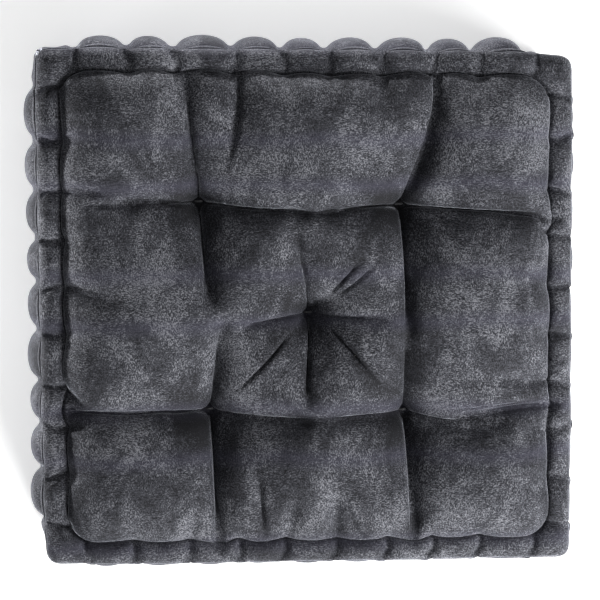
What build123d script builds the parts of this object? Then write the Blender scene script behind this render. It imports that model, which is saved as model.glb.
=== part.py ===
from build123d import *

import os
from math import hypot, sqrt

# A square floor cushion: two panels and a boxed side wall sewn round a fibre filling, with a
# stitched roll along both edges (a French mattress edge) and five thread tufts.
# Millimetres.  +Z is up, X runs along the wider side, Y from front to back.
# The origin is on the floor, under the middle of the cushion.

# ---- driving dimensions -------------------------------------------------------------------

WIDTH = 508.0            # along X, over the bellies of the side walls
DEPTH = 493.0            # along Y, over the bellies of the side walls
HEIGHT = 127.0           # from the floor to the top of the crown

CLOTH = 1.2              # thickness of the covering cloth
FILL_GAP = 1.0           # between the cloth and the filling, where the seam threads run
FIT = 0.15               # round each thread, in the cloth and in the filling

ROLL_RADIUS = 13.0       # the stitched roll along the top and the bottom edge
ROLL_SETBACK = 8.0       # from the belly of the side wall in to the outside of the roll
TOP_ROLL_DROP = 25.0     # from the top of the crown down to the middle of the top roll
BOTTOM_ROLL_RISE = 20.0  # from the floor up to the middle of the bottom roll
SEAM_OFFSET = 5.0        # from the middle of a roll to its seam, towards the panel

CROWN_TUCK = 5.0         # how far the inner side of a roll sinks into the crown
CROWN_ROUND = 24.0       # edge radius of the crown on top
BASE_ROUND = 18.0        # edge radius of the flat base

BELLY_TUCK = 10.0        # from the middle of a roll to the belly's edge, under the roll
BELLY_ROUND = 26.0       # edge radius of the side wall's belly

TOP_PIT_DEPTH = 44.0     # from the crown down to the cloth under a tuft
BOTTOM_PIT_DEPTH = 26.0  # from the floor up to the cloth over a tuft's knot
PIT_FLOOR_RADIUS = 7.0
PIT_FLARE = 0.62         # how much wider a pit gets for each millimetre of height
PIT_OVERCUT = 40.0       # how far the cut of a pit runs on past the crown or the floor

TUFT_CORD_RADIUS = 1.0
TUFT_CORD_SPREAD = 3.0   # from a tuft's middle to each leg of its cord
KNOT_RADIUS = 5.5
KNOT_HANG = 1.5          # from the cloth of the underside down to the knot
KNOT_TAIL = 9.0          # each loose end of a knot, beyond the knot's middle

STITCH_RADIUS = 0.7
STITCH_WIDTH = 6.0       # between the two needle holes of one roll stitch
STITCH_PITCH = 45.0      # from one roll stitch to the next, before rounding to a whole number
STITCH_END = 28.0        # from the corner of a roll to its first stitch

SEAM_THREAD_RADIUS = 0.4
SEAM_THREAD_CORNER = 0.6  # the bend of a seam thread in the corners of the cushion
CORNER_SEAM_REACH = 60.0  # degrees that a corner seam's thread runs round the belly's edges

# Where the tufts are, as (x, y).  They are tied by hand, so they are a little uneven.
TUFTS = {
    "back_left": (-97.0, 95.0),
    "back_right": (89.0, 91.0),
    "front_left": (-88.0, -98.0),
    "front_right": (93.0, -102.0),
    "centre": (4.0, -9.0),
}

# ---- worked out from those ----------------------------------------------------------------

BELLY_X = WIDTH / 2
BELLY_Y = DEPTH / 2
TOP_ROLL_Z = HEIGHT - TOP_ROLL_DROP
BOTTOM_ROLL_Z = BOTTOM_ROLL_RISE
TOP_SEAM_Z = TOP_ROLL_Z + SEAM_OFFSET
BOTTOM_SEAM_Z = BOTTOM_ROLL_Z - SEAM_OFFSET
BELLY_LOW = BOTTOM_ROLL_Z + BELLY_TUCK
BELLY_HIGH = TOP_ROLL_Z - BELLY_TUCK
BELLY_EDGE = min(BELLY_ROUND, 0.45 * (BELLY_HIGH - BELLY_LOW))
TOP_PIT_Z = HEIGHT - TOP_PIT_DEPTH
BOTTOM_PIT_Z = BOTTOM_PIT_DEPTH
MIDDLE_Z = (TOP_PIT_Z + BOTTOM_PIT_Z) / 2
FAR = 2 * (WIDTH + DEPTH)

# Each side: its turn from +X, its distance from the middle, and half of its own length.
SIDES = {
    "right": (0, BELLY_X, BELLY_Y),
    "back": (90, BELLY_Y, BELLY_X),
    "left": (180, BELLY_X, BELLY_Y),
    "front": (270, BELLY_Y, BELLY_X),
}


# ---- the stuffed form ---------------------------------------------------------------------

def side_section(half, inset):
    """The upright section through two facing side walls, with its outline moved in by inset."""
    roll_out = half - ROLL_SETBACK - ROLL_RADIUS
    crown_out = roll_out - ROLL_RADIUS + CROWN_TUCK
    crown = Pos(0, HEIGHT / 2) * Rectangle(2 * crown_out, HEIGHT)
    crown = fillet(crown.vertices().sort_by(Axis.Y)[-2:], CROWN_ROUND)
    crown = fillet(crown.vertices().sort_by(Axis.Y)[:2], BASE_ROUND)
    core = Rectangle(2 * roll_out, TOP_ROLL_Z - BOTTOM_ROLL_Z)
    belly = Rectangle(2 * half, BELLY_HIGH - BELLY_LOW)
    belly = fillet(belly.vertices(), BELLY_EDGE)
    section = crown + Pos(0, (BOTTOM_ROLL_Z + TOP_ROLL_Z) / 2) * core
    section += Pos(0, (BELLY_LOW + BELLY_HIGH) / 2) * belly
    for height in (BOTTOM_ROLL_Z, TOP_ROLL_Z):
        for out in (-roll_out, roll_out):
            section += Pos(out, height) * Circle(ROLL_RADIUS)
    if inset:
        section = offset(section, -inset, kind=Kind.ARC)
    return section


def side_wedge(half, other_half, low, high):
    """The space of the +X side, between the two corner diagonals and out from the middle."""
    skew = half - other_half
    outline = [(max(0, skew), max(0, -skew)), (skew + FAR, FAR), (skew + FAR, -FAR)]
    if skew < 0:
        outline.append((0, skew))
    return Pos(0, 0, low) * extrude(make_face(Polyline(*outline, close=True)), high - low)


def side_block(half, other_half, inset):
    """The quarter of the form behind the +X side, mitred at both corners."""
    outer_half = Pos(FAR / 2, 0) * Rectangle(FAR, FAR)
    section = side_section(half, inset) & outer_half
    block = extrude(Plane.XZ * section, other_half, both=True)
    return block & side_wedge(half, other_half, -FAR, FAR)


def pit(depth, inset):
    """The space of one pit that opens upwards at z = 0, grown by inset on every side."""
    wide = PIT_FLOOR_RADIUS + PIT_FLARE * (depth + PIT_OVERCUT)
    outline = Polyline(
        (-wide, PIT_OVERCUT),
        (-PIT_FLOOR_RADIUS, -depth),
        (PIT_FLOOR_RADIUS, -depth),
        (wide, PIT_OVERCUT),
        close=True,
    )
    section = make_face(outline)
    if inset:
        section = offset(section, inset, kind=Kind.ARC)
    section = section & Pos(FAR / 2, 0) * Rectangle(FAR, FAR)
    return revolve(Plane.XZ * section, Axis.Z)


def stuffed_form(inset):
    """The whole stuffed shape, with every face moved in by inset."""
    quarters = []
    for side, (turn, half, other_half) in SIDES.items():
        quarters.append(Rot(0, 0, turn) * side_block(half, other_half, inset))
    form = quarters[0].fuse(*quarters[1:]).clean()
    top_pit = pit(TOP_PIT_DEPTH, inset)
    bottom_pit = Rot(180, 0, 0) * pit(BOTTOM_PIT_DEPTH, inset)
    pits = []
    for x, y in TUFTS.values():
        pits.append(Pos(x, y, HEIGHT) * top_pit)
        pits.append(Pos(x, y, 0) * bottom_pit)
    return form.cut(*pits)


# ---- threads and cords --------------------------------------------------------------------

def rod(start, end, radius):
    """A straight round rod between two points, with a ball at each end."""
    line = Edge.make_line(start, end)
    body = extrude(Plane(start, z_dir=line % 0) * Circle(radius), line.length)
    return body.fuse(Pos(*start) * Sphere(radius), Pos(*end) * Sphere(radius))


def circles_meet(first, first_radius, second, second_radius, turn):
    """One of the two points where two circles cross: turn is 1 or -1, to choose which."""
    across = (second[0] - first[0], second[1] - first[1])
    apart = hypot(*across)
    along = (apart ** 2 + first_radius ** 2 - second_radius ** 2) / (2 * apart)
    aside = turn * sqrt(first_radius ** 2 - along ** 2)
    unit = (across[0] / apart, across[1] / apart)
    x = first[0] + along * unit[0] - aside * unit[1]
    y = first[1] + along * unit[1] + aside * unit[0]
    return x, y


def stitch_ends(is_top):
    """Where a roll stitch comes out, in the crown's valley and in the side wall's groove.

    Both are given as (out, up) from the middle of the roll.
    """
    belly_out = ROLL_SETBACK + ROLL_RADIUS - BELLY_EDGE
    if is_top:
        crown_round = CROWN_ROUND
        crown_up = HEIGHT - CROWN_ROUND - TOP_ROLL_Z
        belly_up = BELLY_HIGH - BELLY_EDGE - TOP_ROLL_Z
        turn = 1
    else:
        crown_round = BASE_ROUND
        crown_up = BASE_ROUND - BOTTOM_ROLL_Z
        belly_up = BELLY_LOW + BELLY_EDGE - BOTTOM_ROLL_Z
        turn = -1
    crown_centre = (CROWN_TUCK - ROLL_RADIUS - crown_round, crown_up)
    valley = circles_meet((0, 0), ROLL_RADIUS, crown_centre, crown_round, -turn)
    groove = circles_meet((0, 0), ROLL_RADIUS, (belly_out, belly_up), BELLY_EDGE, turn)
    return valley, groove


def roll_stitch(is_top):
    """One closed loop of thread under a roll: out is +X from the middle of the roll, up is +Z."""
    valley, groove = stitch_ends(is_top)
    half = STITCH_WIDTH / 2
    corners = [
        (valley[0], -half, valley[1]),
        (valley[0], half, valley[1]),
        (groove[0], half, groove[1]),
        (groove[0], -half, groove[1]),
    ]
    rods = []
    for index, corner in enumerate(corners):
        rods.append(rod(corner, corners[(index + 1) % 4], STITCH_RADIUS))
    return rods[0].fuse(*rods[1:])


def stitch_channel(is_top):
    """The channel of one roll stitch: a square-edged frame round its loop of thread."""
    valley, groove = stitch_ends(is_top)
    thick = 2 * (STITCH_RADIUS + FIT)
    length = hypot(groove[0] - valley[0], groove[1] - valley[1]) + thick
    frame = Box(length, STITCH_WIDTH + thick, thick)
    frame -= Box(length - 2 * thick, STITCH_WIDTH - thick, 2 * thick)
    middle = ((valley[0] + groove[0]) / 2, 0, (valley[1] + groove[1]) / 2)
    slope = (groove[0] - valley[0], 0, groove[1] - valley[1])
    return Plane(middle, x_dir=slope, z_dir=(-slope[2], 0, slope[0])) * frame


def along_side(side, is_top, one):
    """Copies of one stitch or channel along a side, evenly spaced."""
    turn, half, other_half = SIDES[side]
    setback = ROLL_SETBACK + ROLL_RADIUS
    height = TOP_ROLL_Z if is_top else BOTTOM_ROLL_Z
    reach = other_half - setback - STITCH_END
    gaps = max(1, round(2 * reach / STITCH_PITCH))
    copies = []
    for step in range(gaps + 1):
        along = -reach + 2 * reach * step / gaps
        copies.append(Rot(0, 0, turn) * Pos(half - setback, along, height) * one)
    return copies


def tuft_cord(x, y, radius):
    """A loop of twine through the filling: two legs, and a bar across the cloth on top."""
    top = TOP_PIT_Z + TUFT_CORD_RADIUS
    bottom = BOTTOM_PIT_Z - KNOT_HANG
    left = x - TUFT_CORD_SPREAD
    right = x + TUFT_CORD_SPREAD
    legs = []
    for leg in (left, right):
        legs.append(Pos(leg, y, (top + bottom) / 2) * Cylinder(radius, top - bottom))
    return rod((left, y, top), (right, y, top), radius).fuse(*legs)


def tuft_knot(x, y):
    """The knot under the cushion: a pulled ball, flat where the cord's legs enter, two tails."""
    top = BOTTOM_PIT_Z - KNOT_HANG
    middle = top - 0.7 * KNOT_RADIUS
    ball = Pos(x, y, middle) * Sphere(KNOT_RADIUS)
    tails = []
    for side in (-1, 1):
        start = (x, y + side * 0.5 * KNOT_RADIUS, middle)
        end = (x + side * 0.3 * KNOT_TAIL, y + side * KNOT_TAIL, middle - 0.4 * KNOT_TAIL)
        tails.append(rod(start, end, TUFT_CORD_RADIUS))
    below = Pos(x, y, top - FAR / 2) * Box(FAR, FAR, FAR)
    return ball.fuse(*tails) & below


def seam_thread(height, roll_height):
    """The thread that joins a panel to the side walls, in the gap behind the cloth."""
    rim = ROLL_RADIUS - CLOTH - FILL_GAP / 2
    out = sqrt(rim ** 2 - (height - roll_height) ** 2) - ROLL_SETBACK - ROLL_RADIUS
    ring = RectangleRounded(2 * (BELLY_X + out), 2 * (BELLY_Y + out), SEAM_THREAD_CORNER)
    path = Pos(0, 0, height) * ring.wire()
    return sweep(Plane(path @ 0, z_dir=path % 0) * Circle(SEAM_THREAD_RADIUS), path)


def corner_seam_thread():
    """The thread down one corner of the side walls, in the plane y = 0, out is +X."""
    bend = BELLY_EDGE - CLOTH - FILL_GAP / 2
    out = sqrt(2) * bend
    high = BELLY_HIGH - BELLY_EDGE
    low = BELLY_LOW + BELLY_EDGE
    with BuildLine(Plane.XZ) as path:
        EllipticalCenterArc((0, low), out, bend, -CORNER_SEAM_REACH, arc_size=CORNER_SEAM_REACH)
        Line((out, low), (out, high))
        EllipticalCenterArc((0, high), out, bend, 0, arc_size=CORNER_SEAM_REACH)
    wire = path.wire()
    return sweep(Plane(wire @ 0, z_dir=wire % 0) * Circle(SEAM_THREAD_RADIUS), wire)


def corner_seam_threads():
    """The four corner threads, as separate solids."""
    one = corner_seam_thread()
    threads = []
    for side_x, side_y, turn in ((1, 1, 45), (-1, 1, 135), (-1, -1, 225), (1, -1, 315)):
        corner = Pos(side_x * (BELLY_X - BELLY_EDGE), side_y * (BELLY_Y - BELLY_EDGE), 0)
        threads.append(corner * Rot(0, 0, turn) * one)
    return threads


# ---- the cover, cut into its panels -------------------------------------------------------

def inner_block(low, high):
    """The space inside the rolls, where the tuft pits are, between two heights."""
    half_x = BELLY_X - ROLL_SETBACK - 2 * ROLL_RADIUS - CROWN_ROUND
    half_y = BELLY_Y - ROLL_SETBACK - 2 * ROLL_RADIUS - CROWN_ROUND
    return Pos(0, 0, (low + high) / 2) * Box(2 * half_x, 2 * half_y, high - low)


def cover_pieces(tools):
    """The two panels and the four side walls, with a hole for each thread."""
    cover = (stuffed_form(0) - stuffed_form(CLOTH)).cut(*tools)
    above = Pos(0, 0, TOP_SEAM_Z + FAR / 2) * Box(FAR, FAR, FAR)
    below = Pos(0, 0, BOTTOM_SEAM_Z - FAR / 2) * Box(FAR, FAR, FAR)
    inside = inner_block(BOTTOM_SEAM_Z, TOP_SEAM_Z)
    pieces = {
        "top_panel": cover & (above + inner_block(MIDDLE_Z, TOP_SEAM_Z)),
        "bottom_panel": cover & (below + inner_block(BOTTOM_SEAM_Z, MIDDLE_Z)),
    }
    for side, (turn, half, other_half) in SIDES.items():
        wedge = Rot(0, 0, turn) * side_wedge(half, other_half, BOTTOM_SEAM_Z, TOP_SEAM_Z)
        pieces["gusset_" + side] = cover & (wedge - inside)
    return pieces


# ---- all the nodes ------------------------------------------------------------------------

def write_node(name, shape):
    """Write one node to its STEP file: its solids, joined in one compound if there are several."""
    solids = []
    for part in (shape if isinstance(shape, list) else [shape]):
        solids.extend(part.solids())
    node = solids[0] if len(solids) == 1 else Compound(children=solids)
    export_step(node, os.path.join("parts", name + ".step"))


def main():
    os.makedirs("parts", exist_ok=True)
    tools = []
    for is_top in (True, False):
        stitch = roll_stitch(is_top)
        channel = stitch_channel(is_top)
        edge = "top" if is_top else "bottom"
        for side in SIDES:
            write_node(edge + "_roll_stitches_" + side, along_side(side, is_top, stitch))
            tools.extend(along_side(side, is_top, channel))
    for place, (x, y) in TUFTS.items():
        write_node("tuft_cord_" + place, tuft_cord(x, y, TUFT_CORD_RADIUS))
        write_node("tuft_knot_" + place, tuft_knot(x, y))
        tools.append(tuft_cord(x, y, TUFT_CORD_RADIUS + FIT))
    for name, piece in cover_pieces(tools).items():
        write_node(name, piece)
    write_node("fill_core", stuffed_form(CLOTH + FILL_GAP).cut(*tools))
    write_node("top_seam_thread", seam_thread(TOP_SEAM_Z, TOP_ROLL_Z))
    write_node("bottom_seam_thread", seam_thread(BOTTOM_SEAM_Z, BOTTOM_ROLL_Z))
    write_node("corner_seam_threads", corner_seam_threads())


main()
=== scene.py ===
import math

import bpy
import numpy as np
from mathutils import Matrix, Vector


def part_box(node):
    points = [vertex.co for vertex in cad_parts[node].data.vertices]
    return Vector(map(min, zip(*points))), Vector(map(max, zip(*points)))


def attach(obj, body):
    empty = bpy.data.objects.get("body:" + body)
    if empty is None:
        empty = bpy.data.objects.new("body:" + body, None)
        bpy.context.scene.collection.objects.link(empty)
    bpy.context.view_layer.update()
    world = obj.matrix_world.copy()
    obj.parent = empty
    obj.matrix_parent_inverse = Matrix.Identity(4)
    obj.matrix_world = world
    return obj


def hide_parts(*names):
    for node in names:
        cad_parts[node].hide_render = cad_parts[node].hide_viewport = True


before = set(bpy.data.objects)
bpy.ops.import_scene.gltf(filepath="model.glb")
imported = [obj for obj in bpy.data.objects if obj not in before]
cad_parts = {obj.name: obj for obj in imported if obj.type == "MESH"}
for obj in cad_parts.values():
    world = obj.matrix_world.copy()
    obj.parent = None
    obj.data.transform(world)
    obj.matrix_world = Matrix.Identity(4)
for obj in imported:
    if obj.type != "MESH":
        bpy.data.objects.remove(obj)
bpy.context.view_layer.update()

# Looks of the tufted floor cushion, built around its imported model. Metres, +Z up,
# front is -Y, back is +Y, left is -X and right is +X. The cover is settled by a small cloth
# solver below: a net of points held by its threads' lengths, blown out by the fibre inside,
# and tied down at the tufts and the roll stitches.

# ---------------------------------------------------------------- sizes from the frame

CLOTH = 0.0012
TWINE_RADIUS = 0.0010
KNOT_HANG = 0.0015
STITCH_RADIUS = 0.0006
STITCH_HALF_WIDTH = 0.0030
SEAM_THREAD_RADIUS = 0.0004
THREAD_BEAD = 0.003       # how far apart the stitches of a seam show
STRAND_DEPTH = 0.14       # share of a thread's thickness that its strands cut in
BEAD_DEPTH = 0.3          # and that its stitches do
SEAM_DEPTH = 0.0032       # how far the cloth turns down into a seam
SEAM_ROW = 0.30           # where the row beside a seam is, as a share of the way to the next
FILL_DEPTH = 0.0024       # how far inside the cover's face the fibre is
FILL_AT_SEAM = 0.0065     # and at the seams

SEAM_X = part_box("top_seam_thread")[1].x - SEAM_THREAD_RADIUS
SEAM_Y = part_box("top_seam_thread")[1].y - SEAM_THREAD_RADIUS
SEAM_TOP = sum(corner.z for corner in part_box("top_seam_thread")) / 2
SEAM_BOTTOM = sum(corner.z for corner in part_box("bottom_seam_thread")) / 2
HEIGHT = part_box("top_panel")[1].z
SIDE_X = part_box("gusset_right")[1].x
SIDE_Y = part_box("gusset_back")[1].y
PIT_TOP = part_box("tuft_cord_centre")[1].z - 2 * TWINE_RADIUS
PIT_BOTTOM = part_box("tuft_cord_centre")[0].z + KNOT_HANG

ROLL_RADIUS = 0.013
ROLL_IN = 0.012           # the roll's middle, in from the seam
TOP_ROLL_Z = SEAM_TOP - 0.005
BOTTOM_ROLL_Z = SEAM_BOTTOM + 0.005
VALLEY_IN = 0.0235        # the stitched valley behind the roll, in from the seam
VALLEY_DROP = 0.0225      # and below the crown
VALLEY_LIFT = 0.0078      # where the crown starts, above the roll's middle
CROWN_IN = 0.0225         # and in from the seam
CROWN_RISE = 0.020        # the distance over which the crown rises from there
GROOVE_IN = 0.0100        # the stitched groove under the roll
GROOVE_DROP = 0.0360
BELLY = (0.022, 0.031, 0.013)      # a side's bulge: half its width, half its height, its middle's setback
PANEL_CORNER = 0.014      # how round the panels' corners are
PIT_REACH = (0.026, 0.020)         # how wide the tufts' pits open, on top and below
TUFT_PIN = 0.0055         # how far out a tuft holds the cloth still
STITCH_PIN = 0.0026       # and a roll stitch, along its row

# The axis that each side's stitches run along (0 is X, 1 is Y), and its sign on the other axis.
SIDES = {"front": (0, -1), "right": (1, 1), "back": (0, 1), "left": (1, -1)}

# The corners of this cushion aren't quite square.
CORNER_SHIFT = {
    (-1, 1): (-0.003, 0.000),
    (1, 1): (0.004, -0.008),
    (-1, -1): (0.003, -0.001),
    (1, -1): (0.008, -0.008),
}

# Creases that run out of each tuft's pit: width, depth of the knife edge, and then a few
# (x, y, height), all in millimetres. One with no width is only cut in once the cover has settled.
TUFT_CREASES = {
    "back_left": [
        (4, 3.5, [(-99, 116, 100), (-106, 163, 112), (-111, 212, 112)]),
        (4, 3.5, [(-95, 55, 100), (-92, 14, 118)]),
        (4, 2.5, [(-125, 95, 104), (-162, 95, 118)]),
        (4, 3.0, [(-55, 91, 104), (-4, 87, 116)]),
    ],
    "back_right": [
        (4, 3.5, [(94, 112, 98), (113, 172, 108), (115, 210, 110)]),
        (4, 3.5, [(91, 30, 104), (92, -23, 118)]),
        (4, 3.0, [(50, 90, 104), (15, 87, 116)]),
        (4, 4.0, [(140, 88, 102), (190, 86, 110), (225, 84, 108)]),
    ],
    "front_left": [
        (4, 3.0, [(-85, -60, 102), (-81, -14, 118)]),
        (4, 3.5, [(-86, -150, 104), (-85, -215, 108)]),
        (4, 3.5, [(-150, -94, 104), (-225, -93, 108)]),
        (4, 3.0, [(-45, -101, 104), (-4, -103, 116)]),
    ],
    "front_right": [
        (4, 3.0, [(92, -65, 103), (91, -23, 118)]),
        (4, 3.5, [(95, -160, 106), (96, -215, 110)]),
        (4, 3.0, [(60, -102, 104), (24, -103, 116)]),
        (4, 3.0, [(130, -108, 104), (173, -109, 117)]),
    ],
    "centre": [
        (2, 4.5, [(1, 8, 100), (-3, 30, 110), (-13, 70, 122)]),
        (0, 4.5, [(-15, -25, 108), (-40, -52, 115), (-70, -81, 120)]),
        (2, 5.0, [(3, -30, 100), (0, -60, 112), (-1, -84, 120)]),
        (0, 7.0, [(22, -22, 108), (42, -44, 114), (64, -70, 120)]),
        (2, 4.0, [(-18, -10, 102), (-40, -13, 112), (-58, -14, 120)]),
        (2, 3.0, [(28, -11, 104), (48, -11, 116), (66, -11, 120)]),
        (0, 3.0, [(20, 10, 108), (34, 26, 114), (50, 46, 120)]),
        (0, 2.0, [(26, 8, 108), (46, 24, 114), (66, 44, 120)]),
    ],
}

# Folds that don't start at a tuft, given the same way.
LOOSE_CREASES = [
    (3, 3.0, [(127, -99, 112), (183, -93, 112), (225, -89, 108)]),
    (2.5, 2.5, [(-62, 210, 112), (-62, 172, 118), (-74, 126, 124)]),
    (2.5, 2.5, [(-45, -154, 124), (-42, -190, 118), (-41, -214, 112)]),
    (2.5, 2.5, [(38, -191, 121), (50, -214, 112)]),
]
KNIFE_REACH = 0.0045      # how far out a knife edge draws the cloth together
KNIFE_PINCH = 0.75        # how much of the way
KNIFE_ENDS = (0.15, 0.35)      # shares of its length over which it starts and fades out
LIP_HEIGHT = 0.0006       # how far the cloth stands up beside it
LIP_START = 0.5           # the share of its length over which the lip starts
VALLEY_REACH = 0.0065     # how far out the valleys behind the rolls are drawn together
VALLEY_PINCH = 0.0055     # and how much
ROLL_TUCK = 0.0021        # width of a tuck over the roll at a stitch
INNER_FOLD = 0.0030       # and of the fold from there into the crown
TUCK_DROP = (0.0135, 0.0045)       # how far below the crown a slack tuck is, and a tight one below that

# Solver: cells across, along and down the side, steps, the fibre's push and the creases' pull.
LEVELS = [
    (50, 48, 16, 250, 4e-4, 0.07),
    (100, 96, 32, 150, 2e-4, 0.09),
    (200, 192, 64, 90, 1e-4, 0.20),
]
FULLNESS = 1.02           # cloth cut a little larger than the form it covers
SIDE_FULLNESS = 1.03
STIFFNESS = (1.0, 0.5, 0.12)   # stretch, shear and bend
DAMPING = 0.93
LONGEST_STEP = 0.0012
FREE_HEIGHT = 0.140       # where the fibre stops pushing up
SOFT_HEIGHT = 0.030       # and how far below that its push starts to fade
FREE_SIDE = 0.004         # the same, out past the gussets' bellies
SOFT_SIDE = 0.014
TUFT_DIP = 0.030          # the fibre is drawn down round a tuft
TUFT_REACH = 0.060
CREASE_DIP = 0.016        # and along a crease
CREASE_REACH = 0.024
CORNER_REACH = 0.050      # how far from a corner the cloth is eased in to the form
VALLEY_PULL = (0.9, 0.7)  # how hard the valleys are drawn in, on top and below
VALLEY_LEVEL = (0.0015, 0.012)      # how far above its pins the top one lies, and the lower one's height
HELD_IN = 0.0065          # how far a roll stitch holds the side in below the rolls
BAND_PULLS = (0.03, 0.06) # how softly the grooves and the seams are tied
STITCH_PULL = 0.2         # and the seams beside a stitch
ROLL_HOLD = 0.007         # how much less far out the fibre pushes beside the rolls
LUMPINESS = 0.25          # how uneven the fibre is
WEAKEST_PUSH = 0.03       # the share of its push that the fibre never loses

# Painted shade on the pile: how dark and how far out round a tuft and (for each metre of depth)
# along a crease. Then how dark, how far from the tuft and how wide the painted side shade is.
PAINTED_SHADE_AT_TUFT = (1.15, 0.027)
PAINTED_SHADE_AT_CREASE = (150, 0.0045)
PAINTED_SIDE_SHADE = (0.75, 0.018, 0.020)
# The way towards the lighter side of each tuft's painted side shade, which is darker on the left.
PAINTED_SIDE_SHADE_WAY = (0.94, 0.34)

# The chenille's colour from its darkest to its lightest, and its violet.
CHARCOAL = [
    (0.0, (0.0066, 0.0068, 0.0086)),
    (0.5, (0.044, 0.0455, 0.055)),
    (1.0, (0.178, 0.181, 0.200)),
]
VIOLET = (0.052, 0.050, 0.078)


def tuft_places():
    """Each tuft's name and the (x, y) of its cord."""
    places = {}
    for node in sorted(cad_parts):
        if node.startswith("tuft_cord_"):
            low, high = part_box(node)
            places[node[len("tuft_cord_"):]] = ((low.x + high.x) / 2, (low.y + high.y) / 2)
    return places


def stitch_places(side):
    """The middle of each roll stitch along one side, from the gaps between the CAD stitches."""
    axis = SIDES[side][0]
    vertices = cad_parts["top_roll_stitches_" + side].data.vertices
    places = np.sort([vertex.co[axis] for vertex in vertices])
    gaps = np.nonzero(np.diff(places) > 0.01)[0]
    first = np.concatenate([[0], gaps + 1])
    last = np.concatenate([gaps, [len(places) - 1]])
    return (places[first] + places[last]) / 2


TUFTS = tuft_places()
CHANCE = np.random.default_rng(11)
STITCHES = []
for side_name in SIDES:
    for place in stitch_places(side_name):
        STITCHES.append({
            "side": side_name,
            "along": place + CHANCE.uniform(-0.004, 0.004),
            "deeper": CHANCE.uniform(-0.0015, 0.0020),
            "tight": CHANCE.uniform(0.35, 1.0),
            "fold": max(0.003, CHANCE.uniform(-0.03, 0.050)),
            "slant": CHANCE.uniform(-0.012, 0.012),
            "skew": CHANCE.uniform(-0.006, 0.006),
        })


# ---------------------------------------------------------------- the form to be filled

def smooth_min(a, b, reach):
    """The lesser of two distances, rounded where they are close."""
    share = np.clip(0.5 + 0.5 * (b - a) / reach, 0, 1)
    return b * (1 - share) + a * share - reach * share * (1 - share)


def inward_of(x, y):
    """How far in from the seam a place on a panel is."""
    return smooth_min(SEAM_X - np.abs(x), SEAM_Y - np.abs(y), 0.02)


def from_tufts(x, y):
    """How far places are from each tuft in turn."""
    return [np.hypot(x - tuft_x, y - tuft_y) for tuft_x, tuft_y in TUFTS.values()]


def dots(first, second):
    """The dot product of each row of one with its row of the other."""
    return np.einsum("ij,ij->i", first, second)


def unit(ways):
    """Directions of length 1."""
    return ways / np.maximum(np.linalg.norm(ways, axis=-1), 1e-12)[..., None]


def panel_height(inward):
    """Height of the top panel's form at a distance in from the seam: the roll, then the crown."""
    roll = TOP_ROLL_Z + np.sqrt(np.maximum(ROLL_RADIUS ** 2 - (inward - ROLL_IN) ** 2, 0))
    valley = TOP_ROLL_Z + VALLEY_LIFT
    risen = 1 - np.exp(-np.maximum(inward - CROWN_IN, 0) / CROWN_RISE)
    crown = valley + (HEIGHT - valley) * risen
    return np.where(inward < CROWN_IN, roll, crown)


def flat_places(places, half):
    """Where points of the filled panel lie on the flat cloth it was cut from."""
    inward = np.linspace(0, half, 3000)
    height = panel_height(inward)
    steps = np.hypot(np.diff(inward), np.diff(height))
    length = np.concatenate([[0], np.cumsum(steps)]) + (FULLNESS - 1) * inward
    return np.sign(places) * (length[-1] - np.interp(half - np.abs(places), inward, length))


def rounded_corners(x, y, radius):
    """A rectangle's points drawn in so that its corners are round."""
    over_x = np.clip((np.abs(x) - (SEAM_X - radius)) / radius, 0, 1)
    over_y = np.clip((np.abs(y) - (SEAM_Y - radius)) / radius, 0, 1)
    both = (over_x > 0) & (over_y > 0)
    new_x = np.sign(x) * (SEAM_X - radius + radius * over_x * np.sqrt(1 - over_y ** 2 / 2))
    new_y = np.sign(y) * (SEAM_Y - radius + radius * over_y * np.sqrt(1 - over_x ** 2 / 2))
    return np.where(both, new_x, x), np.where(both, new_y, y)


def side_outline():
    """The side from the top seam to the bottom one, as (out from the seam, height)."""
    middle = (TOP_ROLL_Z + BOTTOM_ROLL_Z) / 2
    outline = [(0.0, SEAM_TOP)]
    for angle in np.radians(np.linspace(22.6, -75, 12)[1:]):
        outline.append((ROLL_RADIUS * math.cos(angle) - ROLL_IN,
                        ROLL_RADIUS * math.sin(angle) + TOP_ROLL_Z))
    for angle in np.radians(np.linspace(62, -62, 15)):
        outline.append((BELLY[0] * math.cos(angle) - BELLY[2], BELLY[1] * math.sin(angle) + middle))
    for angle in np.radians(np.linspace(75, -22.6, 12)[:-1]):
        outline.append((ROLL_RADIUS * math.cos(angle) - ROLL_IN,
                        ROLL_RADIUS * math.sin(angle) + BOTTOM_ROLL_Z))
    outline.append((0.0, SEAM_BOTTOM))
    return np.array(outline)


def lean(points):
    """Points carried along with the corners that aren't quite square."""
    across = points[..., 0] / SEAM_X
    along = points[..., 1] / SEAM_Y
    grip = np.minimum(np.maximum(np.abs(across), np.abs(along)), 1) ** 2
    moved = np.array(points, float)
    for (right, back), (shift_x, shift_y) in CORNER_SHIFT.items():
        weight = grip * (1 + right * across) * (1 + back * along) / 4
        moved[..., 0] += weight * shift_x
        moved[..., 1] += weight * shift_y
    return moved


def on_side(side, along, inward):
    """The (x, y) of a place along one side, a distance in from its seam."""
    axis, sign = SIDES[side]
    if axis == 0:
        return along, sign * (SEAM_Y - inward)
    return sign * (SEAM_X - inward), along


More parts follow.
